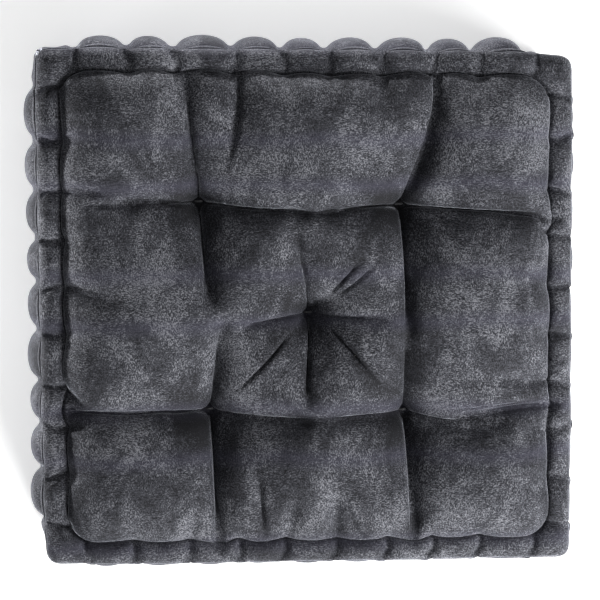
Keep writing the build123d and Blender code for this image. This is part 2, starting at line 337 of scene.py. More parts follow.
class Net:
    """The sewn cover as one closed net: two panels and the band of gussets between them."""

    def __init__(self, across, along, down):
        self.across = across
        self.along = along
        self.down = down
        self.x = np.linspace(-SEAM_X, SEAM_X, across + 1)
        self.y = np.linspace(-SEAM_Y, SEAM_Y, along + 1)
        self.top = np.arange((across + 1) * (along + 1)).reshape(across + 1, along + 1)
        rim = [(i, 0) for i in range(across)] + [(across, j) for j in range(along)]
        rim += [(i, along) for i in range(across, 0, -1)] + [(0, j) for j in range(along, 0, -1)]
        rim_i, rim_j = np.array(rim).T
        round_it = len(rim)
        between = self.top.size + np.arange((down - 1) * round_it).reshape(down - 1, round_it)
        self.bottom = self.top + self.top.size + between.size
        self.band = np.vstack([self.top[rim_i, rim_j], between, self.bottom[rim_i, rim_j]])
        self.count = 2 * self.top.size + between.size

    def gussets(self):
        """Each side's part of the band, as a patch with its corner columns."""
        corners = np.cumsum([0, self.across, self.along, self.across, self.along])
        columns = {}
        for side, start, stop in zip(SIDES, corners[:-1], corners[1:]):
            columns[side] = self.band[:, np.arange(start, stop + 1) % self.band.shape[1]]
        return columns

    def patches(self):
        """Every patch, laid so that its rows crossed with its columns point outwards."""
        found = {"top_panel": self.top, "bottom_panel": self.bottom[:, ::-1]}
        for side, patch in self.gussets().items():
            found["gusset_" + side] = patch
        return found

    def quads(self):
        """The cells of the whole net."""
        return np.concatenate([patch_quads(patch) for patch in self.patches().values()])

    def grid(self):
        """The x and y of a panel's points as laid out at the start."""
        return np.meshgrid(self.x, self.y, indexing="ij")


def patch_quads(patch):
    """The four points round each cell of a patch."""
    corners = [patch[:-1, :-1], patch[1:, :-1], patch[1:, 1:], patch[:-1, 1:]]
    return np.stack(corners, -1).reshape(-1, 4)


def filled_form(net):
    """Where the net starts, and where it lies when its cloth is flat."""
    x, y = net.grid()
    flat_x = flat_places(net.x, SEAM_X)
    flat_y = flat_places(net.y, SEAM_Y)
    flat_x, flat_y = np.meshgrid(flat_x, flat_y, indexing="ij")
    rim = (np.abs(x) > SEAM_X - 1e-9) | (np.abs(y) > SEAM_Y - 1e-9)
    inward = np.maximum(inward_of(x, y), 0)
    inward = np.where(rim, 0, inward)
    top = panel_height(inward)
    bottom = np.where(rim, SEAM_BOTTOM, np.maximum(HEIGHT - top, 0))
    for apart in from_tufts(x, y):
        top = top - (HEIGHT - PIT_TOP) * np.exp(-(apart / PIT_REACH[0]) ** 1.2)
        bottom = bottom + PIT_BOTTOM * np.exp(-(apart / PIT_REACH[1]) ** 1.2)
    round_x, round_y = rounded_corners(x, y, PANEL_CORNER)
    outline = side_outline()
    length = np.concatenate([[0], np.cumsum(np.hypot(*np.diff(outline, axis=0).T))])
    places = np.linspace(0, length[-1], net.down + 1)
    out = np.interp(places, length, outline[:, 0])
    height = np.interp(places, length, outline[:, 1])
    tall = length[-1] * SIDE_FULLNESS
    start = np.zeros((net.count, 3))
    flat = np.zeros((net.count, 3))
    start[net.top] = np.stack([round_x, round_y, top], -1)
    start[net.bottom] = np.stack([round_x, round_y, bottom], -1)
    flat[net.top] = np.stack([flat_x, flat_y, np.full_like(flat_x, tall)], -1)
    flat[net.bottom] = np.stack([flat_x, flat_y, 0 * flat_x], -1)
    rim_points = start[net.band[0]]
    outward = side_directions(net, start)[0]
    for row in range(1, net.down):
        ids = net.band[row]
        reach = belly_reach(rim_points, out[row])[:, None]
        start[ids] = rim_points * [1, 1, 0] + outward * reach + [0, 0, height[row]]
        flat[ids] = flat[net.band[0]] * [1, 1, 0] + [0, 0, tall * (1 - row / net.down)]
    return start, flat, out, height


def from_corner(places):
    """How far places are, in the plane, from the nearest corner."""
    return np.hypot(SEAM_X - np.abs(places[:, 0]), SEAM_Y - np.abs(places[:, 1]))


def near_corner(rim, size):
    """How close each seam point is to a corner, from 0 to 1."""
    return np.exp(-(from_corner(rim) / size) ** 2)


def belly_reach(rim, out):
    """How far out of its seam a row of the band stands: the belly goes at the corners."""
    if out < 0:
        return np.full(len(rim), out)
    return out * (1 - near_corner(rim, 0.034))


def groove_rows(out, height):
    """The band's rows that lie in the groove under the top roll and over the bottom one."""
    upper = np.argmin(np.hypot(out + 0.008, height - (HEIGHT - GROOVE_DROP)))
    lower = np.argmin(np.hypot(out + 0.008, height - (GROOVE_DROP - 0.005)))
    return int(upper), int(lower)


def nearest_column(net, points, place):
    """The column of the band whose seam point is nearest to a place."""
    rim_points = points[net.band[0]]
    return int(np.argmin(np.hypot(rim_points[:, 0] - place[0], rim_points[:, 1] - place[1])))


def stitch_ends(stitch, along):
    """Where a roll stitch holds the cloth, top valley first and top groove next."""
    drop = stitch["deeper"]
    valley = on_side(stitch["side"], along, VALLEY_IN)
    groove = on_side(stitch["side"], along, GROOVE_IN + drop)
    return [
        (*valley, HEIGHT - VALLEY_DROP - drop),
        (*groove, HEIGHT - GROOVE_DROP),
        (*valley, VALLEY_DROP - 0.004 + drop),
        (*groove, GROOVE_DROP - 0.005),
    ]


def pinned_points(net, start, grooves):
    """The points that a tuft or a roll stitch holds still, and where."""
    pins = {}
    x, y = net.grid()
    for apart in from_tufts(x, y):
        for i, j in zip(*np.nonzero(apart < max(TUFT_PIN, apart.min() + 1e-9))):
            pins[net.top[i, j]] = (x[i, j], y[i, j], PIT_TOP)
            pins[net.bottom[i, j]] = (x[i, j], y[i, j], PIT_BOTTOM)
    for stitch in STITCHES:
        axis, sign = SIDES[stitch["side"]]
        runs, crosses = (net.x, net.y) if axis == 0 else (net.y, net.x)
        half = SEAM_Y if axis == 0 else SEAM_X
        near = np.abs(runs - stitch["along"])
        line = int(np.abs(crosses - sign * (half - VALLEY_IN)).argmin())
        for k in np.nonzero(near <= max(STITCH_PIN, near.min() + 1e-9))[0]:
            top_valley, top_groove, low_valley, low_groove = stitch_ends(stitch, runs[k])
            cell = (k, line) if axis == 0 else (line, k)
            column = nearest_column(net, start, on_side(stitch["side"], runs[k], 0))
            pins[net.top[cell]] = top_valley
            pins[net.bottom[cell]] = low_valley
            pins[net.band[grooves[0], column]] = top_groove
            pins[net.band[grooves[1], column]] = low_groove
    ids = np.array(sorted(pins))
    return ids, lean(np.array([pins[i] for i in ids]))


def drawn_creases():
    """The creases listed above, as (width, knife depth, smooth line), in metres."""
    lines = []
    for tuft, creases in [*TUFT_CREASES.items(), (None, LOOSE_CREASES)]:
        for width, depth, points in creases:
            way = [tuple(v / 1000 for v in point) for point in points]
            if tuft and width:
                way.insert(0, (*TUFTS[tuft], PIT_TOP))
            lines.append((width / 1000, depth / 1000, smooth_path(way, 4, False)))
    return lines


def crease_lines():
    """Every crease that draws the cloth down as it settles, as (width, line), in metres."""
    lines = [(width, way) for width, _, way in drawn_creases() if width]
    for stitch in STITCHES:
        side, along = stitch["side"], stitch["along"]
        seam = on_side(side, along + stitch["skew"], 0.004)
        roll = on_side(side, along, ROLL_IN)
        valley = on_side(side, along, VALLEY_IN)
        inner = on_side(side, along + stitch["slant"], VALLEY_IN + stitch["fold"])
        over = HEIGHT - TUCK_DROP[0] - TUCK_DROP[1] * stitch["tight"]
        lines.append((ROLL_TUCK, [(*seam, SEAM_TOP), (*roll, over), (*valley, HEIGHT - 0.021)]))
        lines.append((INNER_FOLD, [(*valley, HEIGHT - 0.018), (*inner, HEIGHT - 0.001)]))
    return lines


def knife_edge(net, points, depth, way):
    """The top panel drawn onto a crease's line and down into a sharp edge there."""
    patch = points[net.top]
    cell = net.x[1] - net.x[0]
    best = np.full(patch.shape[:2], np.inf)
    nearest = patch[..., :2].copy()
    along = np.zeros(patch.shape[:2])
    for k, (start, end) in enumerate(zip(way[:-1, :2], way[1:, :2])):
        run = end - start
        share = np.clip((patch[..., :2] - start) @ run / (run @ run), 0, 1)
        place = start + share[..., None] * run
        apart = np.linalg.norm(patch[..., :2] - place, axis=-1)
        closer = apart < best
        nearest[closer] = place[closer]
        along = np.where(closer, (k + share) / (len(way) - 1), along)
        best = np.minimum(best, apart)
    fade = np.clip(along / KNIFE_ENDS[0], 0, 1) * np.clip((1 - along) / KNIFE_ENDS[1], 0, 1)
    fade = np.where((along > 0) & (along < 1), fade, 0)
    draw = KNIFE_PINCH * fade * np.exp(-(best / KNIFE_REACH) ** 2)
    snapped = (best < 0.6 * cell) & (fade > 0)
    draw = np.where(snapped, 1, draw)
    patch[..., :2] += (nearest - patch[..., :2]) * draw[..., None]
    fall = np.where(snapped, 1, np.exp(-(best / (0.7 * cell)) ** 2))
    lip = np.exp(-((best - 1.7 * cell) / cell) ** 2)
    patch[..., 2] += fade * (LIP_HEIGHT * np.clip(along / LIP_START, 0, 1) * lip - depth * fall)
    points[net.top] = patch


def pinch_valleys(net, points):
    """The cloth on both sides of the valleys behind the rolls drawn together over them."""
    x, y = net.grid()
    inward = inward_of(x, y)
    slope_x, slope_y = np.gradient(inward, net.x, net.y)
    off = (inward - VALLEY_IN) / VALLEY_REACH
    shift = -VALLEY_PINCH * (0.8 + 0.3 * unevenness(x, y, 0.09)) * off * np.exp(-off ** 2)
    for patch in (net.top, net.bottom):
        points[patch, 0] += shift * slope_x
        points[patch, 1] += shift * slope_y


def near_line(x, y, way):
    """Distance of each point from a line of (x, y, height) points, and the line's height there."""
    best = np.full(x.shape, np.inf)
    level = np.zeros(x.shape)
    for (ax, ay, az), (bx, by, bz) in zip(way[:-1], way[1:]):
        run_x, run_y = bx - ax, by - ay
        share = ((x - ax) * run_x + (y - ay) * run_y) / (run_x ** 2 + run_y ** 2)
        share = np.clip(share, 0, 1)
        apart = np.hypot(x - ax - share * run_x, y - ay - share * run_y)
        level = np.where(apart < best, az + (bz - az) * share, level)
        best = np.minimum(best, apart)
    return best, level


def panel_creases(net, x, y):
    """How strongly creases hold each point of the top panel down, to what height, and how deep."""
    strength = np.zeros(x.shape)
    height = np.zeros(x.shape)
    depth = np.zeros(x.shape)
    cell = net.x[1] - net.x[0]
    for width, way in crease_lines():
        apart, level = near_line(x, y, way)
        here = min(1, width / (0.7 * cell)) * np.exp(-(apart / max(width, 0.7 * cell)) ** 2)
        height = np.where(here > strength, level, height)
        strength = np.maximum(strength, here)
        deep = np.clip((HEIGHT - level) / (HEIGHT - PIT_TOP), 0, 1)
        depth = np.maximum(depth, deep * np.exp(-(apart / CREASE_REACH) ** 2))
    return strength, height, depth


def valley_strength(net, x, y):
    """How close each point of a panel is to the valley behind the roll, from 0 to 1."""
    cell = net.x[1] - net.x[0]
    inward = inward_of(x, y)
    return np.exp(-((inward - VALLEY_IN) / max(0.0022, 0.6 * cell)) ** 2)


def stitch_strength(net, start):
    """How hard each column of the band is held in by a roll stitch or a corner, from 0 to 1."""
    cell = net.x[1] - net.x[0]
    rim = start[net.band[0]]
    strength = np.zeros(len(rim))
    for stitch in STITCHES:
        x, y = on_side(stitch["side"], stitch["along"], 0)
        apart = np.hypot(rim[:, 0] - x, rim[:, 1] - y)
        here = stitch["tight"] * np.exp(-(apart / max(0.0045, 0.8 * cell)) ** 2)
        strength = np.maximum(strength, here)
    return np.maximum(strength, near_corner(rim, 0.018))


def creases(net, start, out, height, pull):
    """Every point that a crease holds back: ids, directions, limits along them, and pulls."""
    x, y = net.grid()
    strength, level, _ = panel_creases(net, x, y)
    valley = VALLEY_PULL[0] * valley_strength(net, x, y)
    level = np.where(valley > strength, HEIGHT - VALLEY_DROP + VALLEY_LEVEL[0], level)
    strength = np.maximum(strength, valley)
    up = np.array([0.0, 0.0, 1.0])
    drawn = strength > 0.1
    sets = [(net.top[drawn], up, level[drawn], strength[drawn])]
    low = VALLEY_PULL[1] * valley_strength(net, x, y)
    drawn = low > 0.1
    sets.append((net.bottom[drawn], -up, np.full(drawn.sum(), -VALLEY_LEVEL[1]), low[drawn]))
    outward, reach = side_directions(net, start)
    near = stitch_strength(net, start)
    rim = start[net.band[0]]
    away = 1 - near_corner(rim, 0.025)
    middle = (height[0] + height[-1]) / 2
    half = (height[0] - height[-1]) / 2
    for row in range(1, net.down):
        off = abs(height[row] - middle) / half
        held_in = HELD_IN * min(1, (1 - off) / 0.25)
        limits = reach + belly_reach(rim, out[row]) - held_in * away
        sets.append((net.band[row], outward, limits, near))
    ids = np.concatenate([ids for ids, _, _, _ in sets])
    directions = np.concatenate([np.broadcast_to(way, (len(ids), 3)) for ids, way, _, _ in sets])
    limits = np.concatenate([limit for _, _, limit, _ in sets])
    pulls = np.concatenate([strength for _, _, _, strength in sets]) * pull
    return ids, directions, limits, pulls


def side_directions(net, start):
    """The level outward direction at each column of the band, and how far out its seam is."""
    rim = start[net.band[0]]
    ahead = unit(np.roll(rim, -1, 0) - np.roll(rim, 1, 0))
    outward = np.stack([ahead[:, 1], -ahead[:, 0], 0 * ahead[:, 0]], -1)
    return outward, dots(rim, outward)


def fibre_ceiling(net):
    """How high the fibre would stand at each point: lower round the tufts and along the creases."""
    x, y = net.grid()
    dip = CREASE_DIP * panel_creases(net, x, y)[2]
    for apart in from_tufts(x, y):
        dip = np.maximum(dip, TUFT_DIP * np.exp(-(apart / TUFT_REACH) ** 1.6))
    ceiling = np.full(net.count, FREE_HEIGHT)
    ceiling[net.top] -= dip
    return ceiling


def tied_points(net, start, grooves):
    """Points drawn softly to a place: the grooves all round, and the seams beside each stitch."""
    places = {}
    pulls = {}
    for rows, pull in zip((grooves, (0, -1)), BAND_PULLS):
        for index in net.band[rows, :].ravel():
            places[index] = start[index]
            pulls[index] = pull
    for stitch in STITCHES:
        for seam, height in ((net.band[0], SEAM_TOP), (net.band[-1], SEAM_BOTTOM)):
            column = nearest_column(net, start, on_side(stitch["side"], stitch["along"], 0))
            target = on_side(stitch["side"], stitch["along"], 0.0020 + stitch["deeper"])
            places[seam[column]] = (*target, height)
            pulls[seam[column]] = STITCH_PULL
    ids = np.array(sorted(places))
    return ids, lean(np.array([places[i] for i in ids])), np.array([pulls[i] for i in ids])


# ---------------------------------------------------------------- the solver

def thread_sets(index, closed):
    """Pairs of points held apart, in sets that share no point: (first, second, kind)."""
    rows, columns = index.shape
    sets = []
    for odd in (0, 1):
        i = np.arange(odd, rows - 1, 2)
        sets.append((index[i], index[i + 1], 0))
        j = np.arange(odd, columns if closed else columns - 1, 2)
        sets.append((index[:, j], index[:, (j + 1) % columns], 0))
        if closed:
            turned = np.roll(index, -1, 1)
            sets.append((index[i], turned[i + 1], 1))
            sets.append((turned[i], index[i + 1], 1))
        else:
            sets.append((index[i][:, :-1], index[i + 1][:, 1:], 1))
            sets.append((index[i][:, 1:], index[i + 1][:, :-1], 1))
        i = np.array([k for k in range(rows - 2) if k // 2 % 2 == odd], int)
        sets.append((index[i], index[i + 2], 2))
        j = np.array([k for k in range(columns if closed else columns - 2) if k // 2 % 2 == odd], int)
        sets.append((index[:, j], index[:, (j + 2) % columns], 2))
    return [(a.ravel(), b.ravel(), kind) for a, b, kind in sets]


def all_threads(net):
    """The thread sets of the whole net. The two panels share no point, so their sets join."""
    sets = []
    for (a, b, kind), (c, d, _) in zip(thread_sets(net.top, False), thread_sets(net.bottom, False)):
        sets.append((np.concatenate([a, c]), np.concatenate([b, d]), kind))
    return sets + thread_sets(net.band, True)


def held_lengths(start, flat, first, second):
    """Each thread's length: as cut, but shaped to the form near the corners, where it is eased in."""
    cut = np.linalg.norm(flat[first] - flat[second], axis=1)
    formed = np.linalg.norm(start[first] - start[second], axis=1) * 1.01
    middle = (start[first] + start[second]) / 2
    share = np.clip(2 - from_corner(middle) / CORNER_REACH * 1.4, 0, 1)
    return cut * (1 - share) + formed * share


def outward_areas(points, quads, count):
    """At each point, the outward normal times the area round it."""
    across = points[quads[:, 2]] - points[quads[:, 0]]
    along = points[quads[:, 3]] - points[quads[:, 1]]
    area = np.repeat(np.cross(across, along) / 8, 4, axis=0)
    ids = quads.ravel()
    return np.stack([np.bincount(ids, area[:, k], count) for k in range(3)], -1)


def unevenness(x, y, size):
    """A smooth uneven pattern from -1 to 1, for the lumps of the fibre."""
    chance = np.random.default_rng(5)
    total = np.zeros(x.shape)
    for _ in range(9):
        angle = chance.uniform(0, math.pi)
        wave = chance.uniform(0.7, 1.5) * 2 * math.pi / size
        along = x * math.cos(angle) + y * math.sin(angle)
        total += np.sin(wave * along + chance.uniform(0, 6.28))
    return total / 4


def room_left(points, ceiling):
    """How much of its push the fibre still has at each point: less and less as it fills out."""
    middle = (SEAM_TOP + SEAM_BOTTOM) / 2
    rolls = np.clip((np.abs(points[:, 2] - middle) - 0.028) / 0.016, 0, 1)
    free = FREE_SIDE - ROLL_HOLD * rolls
    room = np.clip((ceiling - points[:, 2]) / SOFT_HEIGHT, 0, 1)
    room *= np.clip((SIDE_X + free - np.abs(points[:, 0])) / SOFT_SIDE, 0, 1)
    room *= np.clip((SIDE_Y + free - np.abs(points[:, 1])) / SOFT_SIDE, 0, 1)
    return WEAKEST_PUSH + (1 - WEAKEST_PUSH) * room


def relax(net, points, steps, push, pull):
    """The net after some steps of push, thread lengths, pins, ties and creases, on the floor."""
    start, flat, out, height = filled_form(net)
    grooves = groove_rows(out, height)
    pins, pin_places = pinned_points(net, start, grooves)
    ties, tie_places, tie_pulls = tied_points(net, start, grooves)
    drawn, ways, limits, draws = creases(net, start, out, height, pull)
    limits = limits + dots(lean(start[drawn]) - start[drawn], ways)
    ceiling = fibre_ceiling(net)
    free = np.ones(net.count)
    free[pins] = 0
    threads = []
    for first, second, kind in all_threads(net):
        shared = np.maximum(free[first] + free[second], 1e-9)
        length = held_lengths(start, flat, first, second)
        stiff = STIFFNESS[kind]
        threads.append((first, second, length, (stiff * free[first] / shared)[:, None],
                        (stiff * free[second] / shared)[:, None], kind))
    draws = (draws * free[drawn])[:, None]
    tie_pulls = (tie_pulls * free[ties])[:, None]
    quads = net.quads()
    usual = np.linalg.norm(outward_areas(flat, quads, net.count), axis=1).mean()
    lumps = 1 + LUMPINESS * unevenness(start[:, 0], start[:, 1] + start[:, 2], 0.06)
    speed = np.zeros_like(points)
    points[pins] = pin_places
    for _ in range(steps):
        before = points
        force = outward_areas(points, quads, net.count) / usual
        move = speed * DAMPING + force * (push * free * lumps * room_left(points, ceiling))[:, None]
        size = np.linalg.norm(move, axis=1)
        points = points + move * np.minimum(1, LONGEST_STEP / np.maximum(size, 1e-12))[:, None]
        for first, second, length, first_share, second_share, kind in threads:
            apart = points[second] - points[first]
            now = np.sqrt(dots(apart, apart))
            over = (now - length) / np.maximum(now, 1e-9)
            if kind == 2:
                over = np.minimum(over, 0)
            apart *= over[:, None]
            points[first] += apart * first_share
            points[second] -= apart * second_share
        points[ties] += (tie_places - points[ties]) * tie_pulls
        over = np.maximum(dots(points[drawn], ways) - limits, 0)
        points[drawn] -= ways * over[:, None] * draws
        np.maximum(points[:, 2], 0, out=points[:, 2])
        speed = points - before
    return points


def doubled(patch, closed):
    """A patch with a new point between every two, on a smooth curve through its neighbours."""
    for axis in (0, 1):
        patch = np.moveaxis(patch, axis, 0)
        if closed and axis == 1:
            middle = 9 * (patch + np.roll(patch, -1, 0)) - np.roll(patch, 1, 0) - np.roll(patch, -2, 0)
            middle = middle / 16
            finer = np.empty((2 * len(patch),) + patch.shape[1:])
        else:
            middle = (patch[1:] + patch[:-1]) / 2
            middle[1:-1] = (9 * (patch[1:-2] + patch[2:-1]) - patch[:-3] - patch[3:]) / 16
            finer = np.empty((2 * len(patch) - 1,) + patch.shape[1:])
        finer[0::2] = patch
        finer[1::2] = middle
        patch = np.moveaxis(finer, 0, axis)
    return patch


def refined(net, points, finer):
    """The points of a net carried to one with twice the cells."""
    new = np.zeros((finer.count, 3))
    new[finer.band] = doubled(points[net.band], True)
    new[finer.top] = doubled(points[net.top], False)
    new[finer.bottom] = doubled(points[net.bottom], False)
    return new


def settled_cover():
    """The filled and stitched cover, settled from a coarse net to a fine one."""
    net = None
    for across, along, down, steps, push, pull in LEVELS:
        finer = Net(across, along, down)
        points = lean(filled_form(finer)[0]) if net is None else refined(net, points, finer)
        net = finer
        points = relax(net, points, steps, push, pull)
    pinch_valleys(net, points)
    for _, depth, way in drawn_creases():
        knife_edge(net, points, depth, way)
    return net, points


# ---------------------------------------------------------------- meshes

def make_piece(name, points, faces, material, node, slot):
    """A smooth mesh piece that rides on the cushion, stands for a CAD node and has its finish."""
    mesh = bpy.data.meshes.new(name)
    mesh.from_pydata(points.tolist(), [], faces)
    mesh.update()
    mesh.polygons.foreach_set("use_smooth", [True] * len(mesh.polygons))
    mesh.materials.append(material)
    piece = bpy.data.objects.new(name, mesh)
    bpy.context.scene.collection.objects.link(piece)
    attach(piece, "root")
    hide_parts(node)
    return piece


def with_seam_rows(patch):
    """The patch with one more row close to each border, so that a seam's groove stays narrow."""
    for axis in (0, 1):
        patch = np.moveaxis(patch, axis, 0)
        first = patch[:1] * (1 - SEAM_ROW) + patch[1:2] * SEAM_ROW
        last = patch[-1:] * (1 - SEAM_ROW) + patch[-2:-1] * SEAM_ROW
        patch = np.concatenate([patch[:1], first, patch[1:-1], last, patch[-1:]])
        patch = np.moveaxis(patch, 0, axis)
    return patch


def cloth_shell(plain, sunk):
    """A patch of cloth with its real thickness, its borders turned down into the seams."""
    outer = with_seam_rows(plain)
    turned = with_seam_rows(sunk)
    for edge in (0, -1):
        outer[edge] = turned[edge]
        outer[:, edge] = turned[:, edge]
    inner = outer - CLOTH * unit(np.cross(*np.gradient(outer, axis=(0, 1))))
    rows, columns = outer.shape[:2]
    index = np.arange(rows * columns).reshape(rows, columns)
    lower = index + index.size
    rim = np.concatenate([index[:-1, 0], index[-1, :-1], index[:0:-1, -1], index[0, :0:-1]])
    after = np.roll(rim, -1)
    sides = np.stack([after, rim, rim + index.size, after + index.size], -1)
    faces = np.concatenate([patch_quads(index), patch_quads(lower)[:, ::-1], sides])
    return np.concatenate([outer.reshape(-1, 3), inner.reshape(-1, 3)]), faces


def sweep(path, radius, sides, closed, lobes=0, turns=0.0, beads=None):
    """A tube along a path. Lobes twist round it as strands do, and beads swell it along its way."""
    path = np.asarray(path, float)
    ahead = np.roll(path, -1, 0) - np.roll(path, 1, 0)
    if not closed:
        ahead[0] = path[1] - path[0]
        ahead[-1] = path[-1] - path[-2]
    ahead = unit(ahead)
    across = np.zeros_like(path)
    aim = np.array([0.31, 0.17, 0.94])
    for k, way in enumerate(ahead):
        aim = unit(aim - way * (aim @ way))
        across[k] = aim
    up = np.cross(ahead, across)
    angle = np.linspace(0, 2 * math.pi, sides, endpoint=False)
    step = np.linalg.norm(np.diff(path, axis=0), axis=1)
    along = np.concatenate([[0], np.cumsum(step)])
    size = np.full((len(path), sides), radius)
    if lobes:
        strands = np.abs(np.cos(lobes / 2 * (angle[None] - turns * along[:, None])))
        size *= 1 - STRAND_DEPTH + STRAND_DEPTH * strands
    if beads:
        swell = np.abs(np.sin(math.pi * along / beads))
        size *= (1 - BEAD_DEPTH + BEAD_DEPTH * swell)[:, None]
    ring = across[:, None] * np.cos(angle)[None, :, None] + up[:, None] * np.sin(angle)[None, :, None]
    points = path[:, None] + ring * size[..., None]
    index = np.arange(points.shape[0] * sides).reshape(-1, sides)
    if closed:
        index = np.vstack([index, index[:1]])
    index = np.hstack([index, index[:, :1]])
    faces = patch_quads(index)[:, ::-1].tolist()
    if not closed:
        faces += [index[0, :-1].tolist(), index[-1, -2::-1].tolist()]
    return points.reshape(-1, 3), faces


def joined(parts):
    """Several (points, faces) as one."""
    points = []
    faces = []
    base = 0
    for part_points, part_faces in parts:
        points.append(part_points)
        faces += [[point + base for point in face] for face in part_faces]
        base += len(part_points)
    return np.concatenate(points), faces


def smooth_path(corners, between, closed):
    """A Catmull-Rom curve through a few points."""
    corners = np.asarray(corners, float)
    if not closed:
        corners = np.vstack([2 * corners[0] - corners[1], corners, 2 * corners[-1] - corners[-2]])
    count = len(corners) if closed else len(corners) - 3
    start = 0 if closed else 1
    path = []
    for k in range(start, start + count):
        a, b, c, d = (corners[(k + step) % len(corners)] for step in (-1, 0, 1, 2))
        for t in np.linspace(0, 1, between, endpoint=False):
            path.append(0.5 * (2 * b + (c - a) * t + (2 * a - 5 * b + 4 * c - d) * t ** 2
                               + (3 * b - a - 3 * c + d) * t ** 3))
    if not closed:
        path.append(corners[-2])
    return np.array(path)


def stitch_loop(stitch, level):
    """One roll stitch: a loop of thread through the roll, from the valley to the groove."""
    half = STITCH_HALF_WIDTH
    left = stitch_ends(stitch, stitch["along"] - half)
    right = stitch_ends(stitch, stitch["along"] + half)
    pair = (0, 1) if level == "top" else (2, 3)
    up = 1 if level == "top" else -1
    axis, sign = SIDES[stitch["side"]]
    outward = np.array([0, sign, 0] if axis == 0 else [sign, 0, 0], float)
    over = np.array([0, 0, up * STITCH_RADIUS])
    under = outward * STITCH_RADIUS
    corners = [left[pair[0]] + over, right[pair[0]] + over]
    corners += [right[pair[1]] + under, left[pair[1]] + under]
    middle = (corners[0] + corners[1]) / 2
    low_middle = (corners[2] + corners[3]) / 2
    way = [corners[0], middle, corners[1], corners[2], low_middle, corners[3]]
    path = smooth_path(lean(np.array(way)), 6, True)
    return sweep(path, STITCH_RADIUS, 8, True, lobes=4, turns=1500)


def twine_tube(path, closed):
    """Twisted twine along a path."""
    return sweep(path, TWINE_RADIUS, 10, closed, lobes=4, turns=900)


def tuft_loop(place):
    """The twine of one tuft: over the cloth in the top pit and down both sides to the knot."""
    x, y = place
    top = PIT_TOP + TWINE_RADIUS
    low = PIT_BOTTOM - KNOT_HANG
    half = [(0.0004, low), (0.0015, PIT_BOTTOM + 0.006), (0.0030, 0.055), (0.0030, top - 0.004),
            (0.0015, top)]
    way = [(x - off, y, height) for off, height in half]
    way += [(x + off, y, height) for off, height in reversed(half)]
    return twine_tube(smooth_path(way, 8, False), False)


def knot_parts(name):
    """The knot under one tuft: a trefoil of twine pulled into a ball, with two cut tails."""
    low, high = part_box("tuft_knot_" + name)
    middle = (low + high) / 2
    ball = min(high.x - low.x, high.y - low.y, high.z - low.z) / 2
    scale = (ball - TWINE_RADIUS) / 3
    turn = np.linspace(0, 2 * math.pi, 72, endpoint=False)
    trefoil = np.stack([np.sin(turn) + 2 * np.sin(2 * turn), np.cos(turn) - 2 * np.cos(2 * turn),
                        -1.6 * np.sin(3 * turn)], -1) * scale + np.array(middle)
    parts = [twine_tube(trefoil, True)]
    for sign in (-1, 1):
        way = [middle, middle + Vector((sign * 0.003, 0.001, 0)),
               middle + Vector((sign * 0.006, 0.003 * sign, -0.0005)),
               middle + Vector((sign * 0.0085, 0.004 * sign, 0.0005))]
        parts.append(twine_tube(smooth_path(way, 8, False), False))
    return parts


# ---------------------------------------------------------------- materials

def new_material(name):
    """A material with an empty node tree, its Principled shader and a coordinate node."""
    material = bpy.data.materials.new(name)
    material.use_nodes = True
    tree = material.node_tree
    shader = tree.nodes["Principled BSDF"]
    place = tree.nodes.new("ShaderNodeTexCoord").outputs["Object"]
    return material, tree, shader, place


def stretched(tree, place, scale):
    """Coordinates scaled apart along X, Y and Z."""
    node = tree.nodes.new("ShaderNodeMapping")
    node.inputs["Scale"].default_value = scale
    tree.links.new(place, node.inputs["Vector"])
    return node.outputs["Vector"]


def noise(tree, place, scale, detail=2.0, roughness=0.5, distortion=0.0):
    """A smooth random value from 0 to 1 at each place."""
    node = tree.nodes.new("ShaderNodeTexNoise")
    node.inputs["Scale"].default_value = scale
    node.inputs["Detail"].default_value = detail
    node.inputs["Roughness"].default_value = roughness
    node.inputs["Distortion"].default_value = distortion
    tree.links.new(place, node.inputs["Vector"])
    return node.outputs["Fac"]


def ranged(tree, value, low, high, new_low, new_high):
    """A value carried smoothly from one range to another."""
    node = tree.nodes.new("ShaderNodeMapRange")
    ends = {"From Min": low, "From Max": high, "To Min": new_low, "To Max": new_high}
    for name, number in ends.items():
        node.inputs[name].default_value = number
    tree.links.new(value, node.inputs["Value"])
    return node.outputs["Result"]


def math_of(tree, operation, first, second):
    """Two values, or a value and a number, put together."""
    node = tree.nodes.new("ShaderNodeMath")
    node.operation = operation
    for slot, value in zip(node.inputs, (first, second)):
        if isinstance(value, (int, float)):
            slot.default_value = value
        else:
            tree.links.new(value, slot)
    return node.outputs["Value"]


def blended(tree, share, first, second):
    """Two values mixed by a share."""
    node = tree.nodes.new("ShaderNodeMix")
    node.data_type = "FLOAT"
    tree.links.new(share, node.inputs["Factor"])
    tree.links.new(first, node.inputs["A"])
    tree.links.new(second, node.inputs["B"])
    return node.outputs["Result"]


def ramp(tree, value, stops):
    """A colour for each value, from (place, colour) stops."""
    node = tree.nodes.new("ShaderNodeValToRGB")
    band = node.color_ramp
    while len(band.elements) < len(stops):
        band.elements.new(0.5)
    for element, (where, colour) in zip(band.elements, stops):
        element.position = where
        element.color = (*colour, 1)
    tree.links.new(value, node.inputs["Fac"])
    return node.outputs["Color"]


def tinted(tree, share, first, second):
    """A colour and a fixed one mixed by a share."""
    node = tree.nodes.new("ShaderNodeMix")
    node.data_type = "RGBA"
    sockets = [socket for socket in node.inputs if socket.type == "RGBA"]
    tree.links.new(share, node.inputs["Factor"])
    tree.links.new(first, sockets[0])
    sockets[1].default_value = (*second, 1)
    return [socket for socket in node.outputs if socket.type == "RGBA"][0]


